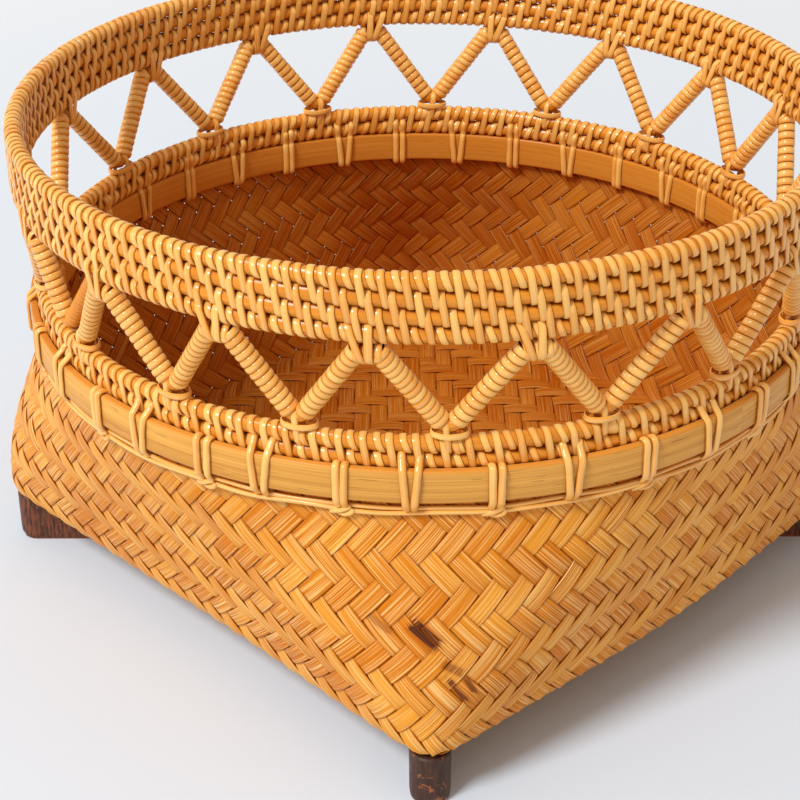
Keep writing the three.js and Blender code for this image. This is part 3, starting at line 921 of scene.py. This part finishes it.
class BASKET_OT_binding(bpy.types.Operator):
    """Cane stitches that bind each rod to the next"""
    bl_idname = "basket.binding"
    bl_label = "Rim and collar binding"

    def execute(self, context):
        cane = settings().cane
        material = cane_finish(settings().palette, "bound_cane", shaded_from=0.00095)
        tree = round_tree()
        plans = (("rim", RIM, cane.rim_stitches, 0.43), ("collar", COLLAR, cane.collar_stitches, 0.45))
        for name, rods, count, offset in plans:
            pitch = tau / count
            circles = [(radius, height, cane.rod) for radius, height, _ in rods]
            # Rods held, samples, lean and start, in pitches: each pair of rods, then the first and last rod alone
            rows = [(circles[k:k + 2], 20, 0.18, offset * k) for k in range(len(rods) - 1)]
            rows += [(circles[:1], 16, 0.42, 0.52), (circles[-1:], 16, 0.42, offset * (len(rods) - 2) + 0.5)]
            pieces = [grow(strap(held, samples, lean), tree, f"{name}_row_{row}", Count=count, Start=start * pitch,
                           Wander=0.05 * pitch, Unevenness=0.0005, Seed=11 + row, Material=material)
                      for row, (held, samples, lean, start) in enumerate(rows)]
            dressed(joined(pieces, f"{name}_binding"))
        return {"FINISHED"}


def turned(point, angle):
    """A point turned round the basket's axis."""
    c, s = cos(angle), sin(angle)
    return Vector((point[0] * c - point[1] * s, point[0] * s + point[1] * c, point[2]))


def bend_turn(place):
    """Direction of a bend of the zigzag, in radians: whole places are top bends, halves are feet."""
    gallery = settings().gallery
    even = radians(gallery.first) + place * tau / ARCHES
    drifts = zip(gallery.drifts, gallery.drift_directions)
    return even + sum(radians(reach) * cos(waves * (even - radians(direction)))
                      for waves, (reach, direction) in enumerate(drifts, 1))


def bends(place, lead=0.0):
    """Inputs that put copies at the gallery's bends, from a place of the zigzag on."""
    gallery = settings().gallery
    return {"Count": ARCHES, "Start": radians(gallery.first) + place * tau / ARCHES,
            "Drifts": [radians(reach) for reach in gallery.drifts],
            "Drift Directions": [radians(direction) for direction in gallery.drift_directions],
            "Lead": radians(lead), "Unevenness": 0.0004}


def foot_point(place):
    """Bend at the foot between two arches, on the collar."""
    radius, height, half = COLLAR[0]
    return turned((radius, 0, height + half + settings().gallery.foot_rise), bend_turn(place))


def shoulder_point(place, side):
    """End of the flat stretch of a top bend, under the rim."""
    radius, height, half = RIM[-1]
    cane = settings().cane
    point = (radius, side * settings().gallery.crown / 2, height - half - 0.0003 - cane.leg_rod - cane.thickness)
    return turned(point, bend_turn(place))


def rounded(points, reach):
    """An open line with each corner replaced by a smooth bend."""
    path = [points[0]]
    for before, here, after in zip(points, points[1:], points[2:]):
        start, end = (here + (other - here).normalized() * min(reach, (other - here).length * 0.45)
                      for other in (before, after))
        for t in np.arange(7) / 6:
            path.append(start * (1 - t) ** 2 + here * 2 * t * (1 - t) + end * t ** 2)
    return path + [points[-1]]


def eased(route):
    """An open line with its corners cut twice into bends, and its heading."""
    route = np.array(route)
    for _ in range(2):
        first, second = route[:-1] * 0.75 + route[1:] * 0.25, route[:-1] * 0.25 + route[1:] * 0.75
        middle = np.stack([first, second], 1).reshape(-1, route.shape[1])
        route = np.concatenate([route[:1], middle[1:-1], route[-1:]])
    return route, unit(np.gradient(route, axis=0))


class BASKET_OT_gallery(bpy.types.Operator):
    """The zigzag rod between collar and rim, its wraps and the straps over its bends"""
    bl_idname = "basket.gallery"
    bl_label = "Gallery"

    def execute(self, context):
        gallery, cane, colours = settings().gallery, settings().cane, settings().palette
        rattan = rattan_finish(colours)
        feet = [foot_point(place - 0.5) for place in (*range(ARCHES), ARCHES - gallery.lap)]
        shoulders = [[shoulder_point(k, side) for side in (-1, 1)] for k in range(ARCHES)]
        corners = [point for foot, pair in zip(feet, shoulders) for point in (foot, *pair)]
        tucked = turned((RIM[-1][0] - 0.0062, 0, RIM[-1][1] - 0.0005), bend_turn(-0.6 * gallery.lap))
        path = np.array([tuple(point) for point in rounded(corners + [feet[-1], tucked], gallery.bend * 1.25)])
        ahead = unit(np.gradient(path, axis=0))
        side = unit(np.cross(ahead, unit(path * (1, 1, 0))))
        rod = Strands().add(path, side, np.cross(side, ahead), round_section(cane.leg_rod)).object("gallery_rod")
        dressed(rod, numbered("gallery_arch", ARCHES), material=rattan)

        tree, leg_cane = wrap_tree(), cane_finish(colours, "leg_cane")
        rising = [self.trimmed(feet[k], shoulders[k][0]) for k in range(ARCHES)]
        falling = [self.trimmed(feet[k + 1], shoulders[k][1]) for k in range(ARCHES)] + shoulders
        tail = [self.trimmed(feet[-1], tucked)]
        wraps = [self.wraps(tree, "rising_wraps", rising, leg_cane, cane.rising_pitch, heft=0.75, shoulder=0.86),
                 self.wraps(tree, "falling_wraps", falling, leg_cane, cane.falling_pitch, heft=1.05, shoulder=0.8)]
        dressed(joined(wraps, "gallery_wraps"), sharp=60)
        tail_wraps = self.wraps(tree, "tail_wraps", tail, rattan, cane.falling_pitch, heft=0.5, shoulder=0.9)
        dressed(tail_wraps, sharp=60)

        tree, strap_cane = round_tree(), cane_finish(colours, "strap_cane")
        pieces = [grow(blank, tree, f"strap_row_{row}", **bends(place), Wander=0.004, Seed=31 + row,
                       Material=strap_cane) for row, (blank, place) in enumerate(self.straps())]
        dressed(joined(pieces, "gallery_straps"))
        return {"FINISHED"}

    def trimmed(self, low, high):
        """The stretch of a leg that its cane wraps."""
        from_foot, from_bend = 0.0052, 0.0004
        ahead = (high - low).normalized()
        return low + ahead * from_foot, high - ahead * from_bend

    def wraps(self, tree, name, legs, material, pitch, heft, shoulder):
        """Turns of cane round straight lengths of rod, each given by its ends."""
        cane, slant, overlap = settings().cane, 0.00035, 1.03
        lines = bpy.data.curves.new("legs", "CURVE")
        lines.dimensions = "3D"
        for ends in legs:
            spline = lines.splines.new("POLY")
            spline.points.add(1)
            for point, place in zip(spline.points, ends):
                point.co = (*place, 1)
        path = placed("legs", lines)
        outward = [(c, s, 0) for c, s in circle(16)]
        ring = [(cane.leg_rod * x, cane.leg_rod * y, slant * x) for x, y, _ in outward]
        section = cane_section(pitch * overlap, cane.thickness * heft, shoulder)
        turn = Strands().add(ring, (0, 0, 1), outward, section, closed=True).object("turn")
        made = grow(turn, tree, name, Path=path, Pitch=pitch, Unevenness=0.0003, Seed=5, Material=material)
        bpy.data.objects.remove(path)
        return made

    def straps(self):
        """The straps of one bend, and the place of the zigzag where each goes: two over its top, three at its foot."""
        cane = settings().cane
        foot, shoulder = foot_point(0.5), shoulder_point(0, 1)
        crown = (RIM[-1][0], shoulder.z, cane.leg_rod + 0.0004)
        last_rod = (RIM[-1][0], RIM[-1][1], cane.rod + cane.thickness)
        notch = (COLLAR[0][0], foot.z + 0.0016, cane.leg_rod + 0.0001)
        top_collar = (COLLAR[0][0], COLLAR[0][1], cane.rod + 0.0002)
        wide, deep = 0.0058, 0.0036
        oval = [(COLLAR[0][0] + deep * c, wide * s, foot.z - 0.0009) for c, s in circle(28)]
        out = [Vector((wide * c, deep * s, 0)).normalized() for c, s in circle(28)]
        level = Strands().add(oval, (0, 0, 1), out, cane_section(0.0022, cane.thickness), closed=True)
        return ((strap([last_rod, crown], 22, shift=-0.003, spread=-0.0024), 0),
                (strap([last_rod, crown], 22, shift=0.0006, spread=-0.0002), 0),
                (strap([notch, top_collar], 22, lean=0.1, width=0.0023, shift=-0.0004), 0.5),
                (strap([top_collar], 16, lean=0.35, shift=0.0028), 0.5),
                (level.object("strap"), 0.5))


class BASKET_OT_hoops(bpy.types.Operator):
    """The two split bamboo hoops at the mouth"""
    bl_idname = "basket.hoops"
    bl_label = "Hoops"

    def execute(self, context):
        material = hoop_finish(settings().palette)
        for node, thick, tone in (("outer_hoop", OUTER_HOOP, 0.3), ("inner_hoop", INNER_HOOP, 0.7)):
            low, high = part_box(node)
            section = band_section((high[2] - low[2]) / 2, thick, soft=0.0008)
            hoop = Strands().ring(high[0], (low[2] + high[2]) / 2, section, segments=256, tone=tone)
            dressed(hoop.object(node + "_band"), [node], material=material)
        return {"FINISHED"}


class BASKET_OT_lashings(bpy.types.Operator):
    """Cane pairs that tie the hoops to the collar, and the strand that locks them"""
    bl_idname = "basket.lashings"
    bl_label = "Hoop lashings"

    def execute(self, context):
        gallery = settings().gallery
        material = cane_finish(settings().palette, "lashing_cane")
        tree = round_tree()
        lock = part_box("hoop_lashing_01")[0][2] + 0.0011
        over, under, within = self.routes(lock)
        near, far = gallery.lead - gallery.spread, gallery.lead + gallery.spread
        # Route, which way its crown faces, half of the pair's width at the top and the foot, turn, and first seed
        plans = ((within, -1, 0.0031, 0.0012, near, 65), (within, -1, 0.0015, 0.0014, far, 67),
                 (over, 1, 0.0031, 0.0012, near, 61), (under, 1, 0.0017, 0.0014, far, 63))
        groups = {1: [], -1: []}
        for route, facing, top, foot, lead, seed in plans:
            for k, side in enumerate((-1, 1)):
                blank = self.band(route, facing, side * top, side * foot)
                groups[facing].append(grow(blank, tree, f"lashing_{seed + k}", **bends(0.5, lead), Wander=0.003,
                                           Seed=seed + k, Material=material))
        dressed(joined(groups[-1], "inner_lashings"), sharp=60)
        knots = grow(self.knot(lock), tree, "knots", **bends(0.5, far), Wander=0.003, Seed=71, Material=material)
        strand = self.strand(lock)
        strand.data.materials.append(material)
        dressed(joined([*groups[1], knots, strand], "outer_lashings"),
                numbered("hoop_lashing", ARCHES), sharp=60)
        return {"FINISHED"}

    def routes(self, lock):
        """Upright routes, by distance from the axis and height: over the hoop, from under it, and down its inside."""
        cane = settings().cane
        radius, height, _ = COLLAR[1]
        rest = cane.rod + cane.thickness + 0.0002

        def off_collar(way):
            return [(radius + way * rest * cos(radians(t)), height + rest * sin(radians(t)))
                    for t in (100, 75, 50, 25)]

        (_, _, low), (out, _, high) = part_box("outer_hoop")
        face, gap = out + 0.0004, out - OUTER_HOOP
        down = [(face, high - 0.0007), (face, (low + high) / 2), (face, low + 0.0004), (face - 0.0008, low - 0.0012),
                (face - 0.0022, lock + 0.0012), (face - 0.0036, lock + 0.0006)]
        over = off_collar(1) + [(face - 0.0012, high + 0.0007)] + down
        under = [(gap + 0.0002, high - 0.0016), (gap + 0.0004, high + 0.0002), (gap + 0.0016, high + 0.0007),
                 (face - 0.0005, high + 0.0004)] + down
        (_, _, low), (out, _, high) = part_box("inner_hoop")
        back = out - INNER_HOOP - 0.0003
        within = off_collar(-1) + [(back + 0.0010, high + 0.0005), (back, high - 0.0007), (back, (low + high) / 2),
                                   (back, low + 0.0004), (back + 0.0010, low - 0.0012), (back + 0.0030, low - 0.0016)]
        return over, under, within

    def band(self, route, facing, top, foot):
        """A strip of cane along an upright route, its crowned side away from what it binds."""
        cane = settings().cane
        route, heading = eased(route)
        share = (route[0, 1] - route[:, 1]) / (route[0, 1] - route[-1, 1])
        path = np.stack([route[:, 0], top + (foot - top) * share, route[:, 1]], 1)
        outward = np.stack([-heading[:, 1], 0 * share, heading[:, 0]], 1) * facing
        section = cane_section(cane.width, cane.thickness * 1.7, 0.7)
        return Strands().add(path, (0, 1, 0), outward, section).object("band")

    def knot(self, lock):
        """Two bits of cane crossed over the strand: each by steps to the side, up and out, in millimetres."""
        cane, knot = settings().cane, Strands()
        for route in (((-4.0, -1.7, 0.8), (-1.6, -1.0, 1.8), (0.8, 0.2, 2.4), (2.8, 1.2, 1.8)),
                      ((-1.2, -2.0, 0.8), (0.8, -2.0, 1.8), (3.0, -1.2, 2.0), (3.6, 0.2, 1.6))):
            path, heading = eased([(BOWL_HIGH[0] + out / 1000, side / 1000, lock + up / 1000)
                                   for side, up, out in route])
            across = unit(np.cross(heading, (1.0, 0.0, 0.0)))
            knot.add(path, across, np.cross(across, heading), cane_section(0.0019, cane.thickness * 1.2, 0.7))
        return knot.object("knot")

    def strand(self, lock):
        """Two thin strands that run round under the hoop and lock the lashings' feet."""
        strands = Strands()
        for k, (out, down) in enumerate(((0.0009, 0.0), (0.0013, -0.0012))):
            def wave(turns, k=k):
                beat = 0.5 + 0.5 * np.cos(turns * ARCHES)
                return 0.0003 * np.sin(turns * 23 + k) + (0.0004 - 0.0008 * k) * (1 - beat)
            strands.ring(BOWL_HIGH[0] + out, lock + 0.0010 + down, round_section(radius=0.0008, corners=8),
                         segments=408, tone=0.3 + 0.3 * k, wave=wave)
        return strands.object("strand")


class BASKET_OT_runners(bpy.types.Operator):
    """The two crossed wooden runners under the base"""
    bl_idname = "basket.runners"
    bl_label = "Runners"

    def execute(self, context):
        colours = settings().palette
        plans = (("runner_lower", 45, True, colours.russet, 0.3), ("runner_upper", -45, False, colours.umber, 0.85))
        for name, angle, from_top, tone, patches in plans:
            piece = self.board(name + "_board")
            self.halve(piece, from_top)
            for vert in piece.data.vertices:
                vert.co = turned(vert.co, radians(angle))
            material = runner_finish(colours, name + "_wood", tone, patches)
            dressed(piece, [name], sharp=40, material=material)
        return {"FINISHED"}

    def board(self, name):
        """A board along X with round ends, lifted toes and softened edges."""
        top, half, toe, soft, steps = RUNNER_HIGH[2], RUNNER_THICKNESS / 2, 0.004, 0.0006, 16
        ends = {1: (RUNNER_HIGH[0] - half) * sqrt(2) + half, -1: -(RUNNER_LOW[0] + half) * sqrt(2) + half}
        levels = []
        for turn in (0, 30, 60, 90):
            lift, draw = 1 - cos(radians(turn)), 1 - sin(radians(turn))
            levels.append((toe * lift, toe * draw, soft * draw))
        levels += [(top * 0.5, 0, 0), (top - soft, 0, 0), (top, soft, soft)]
        work = bmesh.new()
        rings = []
        for height, end, side in levels:
            ring = []
            for way, reach in ends.items():
                for k in range(steps + 1):
                    angle = pi * (k / steps - 0.5)
                    x = min(reach - half + (half - side) * cos(angle), reach - end)
                    ring.append(work.verts.new((way * x, way * (half - side) * sin(angle), height)))
            rings.append(ring)
        for low, high in zip(rings, rings[1:]):
            for k, vert in enumerate(low):
                after = (k + 1) % len(low)
                work.faces.new((vert, low[after], high[after], high[k]))
        work.faces.new(rings[0][::-1])
        work.faces.new(rings[-1])
        return self.made(work, name)

    def made(self, work, name):
        """The object of a finished working mesh."""
        mesh = bpy.data.meshes.new(name)
        work.to_mesh(mesh)
        work.free()
        return placed(name, mesh)

    def halve(self, piece, from_top):
        """Cuts the notch in which the other runner lies."""
        slack, top = 0.0006, RUNNER_HIGH[2]
        work = bmesh.new()
        bmesh.ops.create_cube(work, size=1)
        for vert in work.verts:
            vert.co.x *= RUNNER_THICKNESS + slack
            vert.co.y *= 2 * RUNNER_THICKNESS
            vert.co.z = vert.co.z * (top + slack / 2) + (top if from_top else 0)
        cutter = self.made(work, "notch")
        cut = piece.modifiers.new("halving", "BOOLEAN")
        cut.object, cut.operation, cut.solver = cutter, "DIFFERENCE", "EXACT"
        halved = shape_of(piece)
        piece.modifiers.clear()
        piece.data = halved
        bpy.data.objects.remove(cutter)


class BASKET_PT_panel(bpy.types.Panel):
    """Steps and sizes of the basket"""
    bl_label = "Basket"
    bl_space_type = "VIEW_3D"
    bl_region_type = "UI"
    bl_category = "Basket"

    def draw(self, context):
        column = self.layout.column()
        for step in STEPS:
            column.operator(step.bl_idname)
        for group in (context.scene.basket.weave, context.scene.basket.cane, context.scene.basket.gallery,
                      context.scene.basket.palette):
            for key in group.__annotations__:
                column.prop(group, key)


class BasketSettings(bpy.types.PropertyGroup):
    weave: PointerProperty(type=WeaveSizes)
    cane: PointerProperty(type=CaneSizes)
    gallery: PointerProperty(type=GallerySizes)
    palette: PointerProperty(type=Palette)


STEPS = (BASKET_OT_stage, BASKET_OT_weave, BASKET_OT_rods, BASKET_OT_binding, BASKET_OT_gallery, BASKET_OT_hoops,
         BASKET_OT_lashings, BASKET_OT_runners)
CLASSES = (WeaveSizes, CaneSizes, GallerySizes, Palette, BasketSettings, *STEPS, BASKET_PT_panel)


def register():
    for kind in CLASSES:
        bpy.utils.register_class(kind)
    bpy.types.Scene.basket = PointerProperty(type=BasketSettings)


def unregister():
    del bpy.types.Scene.basket
    for kind in reversed(CLASSES):
        bpy.utils.unregister_class(kind)


def main():
    register()
    for step in STEPS:
        group, name = step.bl_idname.split(".")
        getattr(getattr(bpy.ops, group), name)()


if __name__ == "__main__":
    main()
